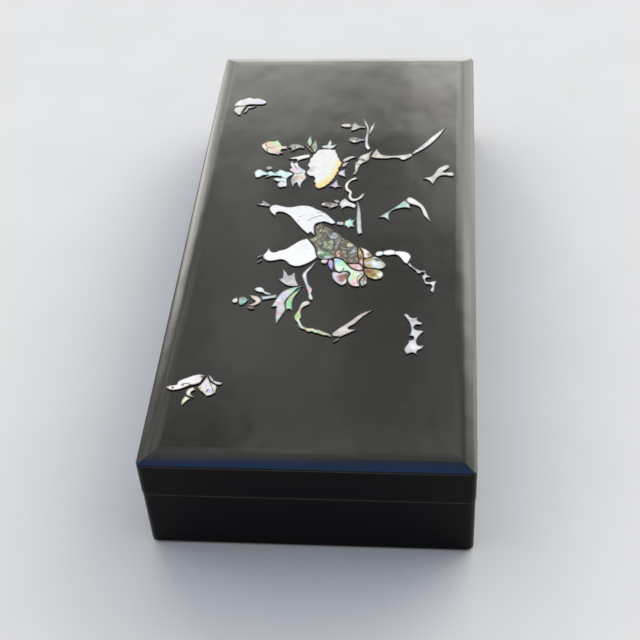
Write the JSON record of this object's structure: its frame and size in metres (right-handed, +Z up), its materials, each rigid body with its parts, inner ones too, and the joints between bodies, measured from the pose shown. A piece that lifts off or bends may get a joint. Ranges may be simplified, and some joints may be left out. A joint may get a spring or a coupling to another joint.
{
  "type": "lacquer box",
  "caption": "Long low black lacquered box with a hinged, bevel-edged lid inlaid with mother-of-pearl peafowl, peonies, rocks and butterflies; velvet-lined compartment.",
  "frame": {"origin": "centre of the underside, on the surface the box stands on", "axes": "+X along the length to the right seen from the front, +Y from the front to the hinges, +Z up"},
  "size_m": [0.305, 0.1437, 0.0542],
  "materials": {
    "lacquer": "black high-gloss lacquer over wood",
    "velvet": "dark red velvet over card",
    "felt": "black felt",
    "brass": "polished brass",
    "pin_steel": "bright steel",
    "white_shell": "polished white mother-of-pearl",
    "abalone_shell": "polished abalone shell with cut lines",
    "green_shell": "polished green-blue shell",
    "pink_shell": "polished pink shell",
    "lilac_shell": "polished lilac shell"
  },
  "bodies": {
    "base": {"base_bottom_panel": "lacquer", "base_front_wall": "lacquer", "base_back_wall": "lacquer", "base_left_wall": "lacquer", "base_right_wall": "lacquer", "base_felt": "felt", "base_floor_lining": "velvet", "base_front_lining": "velvet", "base_back_lining": "velvet", "base_left_lining": "velvet", "base_right_lining": "velvet", "left_hinge_base_leaf": "brass", "right_hinge_base_leaf": "brass", "left_hinge_pin": "pin_steel", "right_hinge_pin": "pin_steel", "base_hinge_screws": "brass"},
    "lid": {"lid_top_panel": "lacquer", "lid_front_rail": "lacquer", "lid_back_rail": "lacquer", "lid_left_rail": "lacquer", "lid_right_rail": "lacquer", "lid_panel_lining": "velvet", "lid_front_lining": "velvet", "lid_back_lining": "velvet", "lid_left_lining": "velvet", "lid_right_lining": "velvet", "left_hinge_lid_leaf": "brass", "right_hinge_lid_leaf": "brass", "lid_hinge_screws": "brass", "inlay_peacock": "white_shell", "inlay_peacock_train": "abalone_shell", "inlay_trailing_plume": "white_shell", "inlay_peahen": "white_shell", "inlay_ground": "white_shell", "inlay_seedling": "lilac_shell", "inlay_flower_spray": "pink_shell", "inlay_left_leaves": "abalone_shell", "inlay_left_branches": "pink_shell", "inlay_peony": "white_shell", "inlay_peony_leaves": "lilac_shell", "inlay_green_leaves": "green_shell", "inlay_bush": "green_shell", "inlay_bud": "pink_shell", "inlay_right_branch": "white_shell", "inlay_right_twig": "lilac_shell", "inlay_rocks": "white_shell", "inlay_left_butterfly": "white_shell", "inlay_right_butterfly": "white_shell"}
  },
  "joints": [
    {"name": "lid_hinge", "type": "hinge", "parent": "base", "child": "lid", "pos_m": [0, 0.0705, 0.03335], "axis": [-1, 0, 0], "range_deg": [0, 100]}
  ]
}
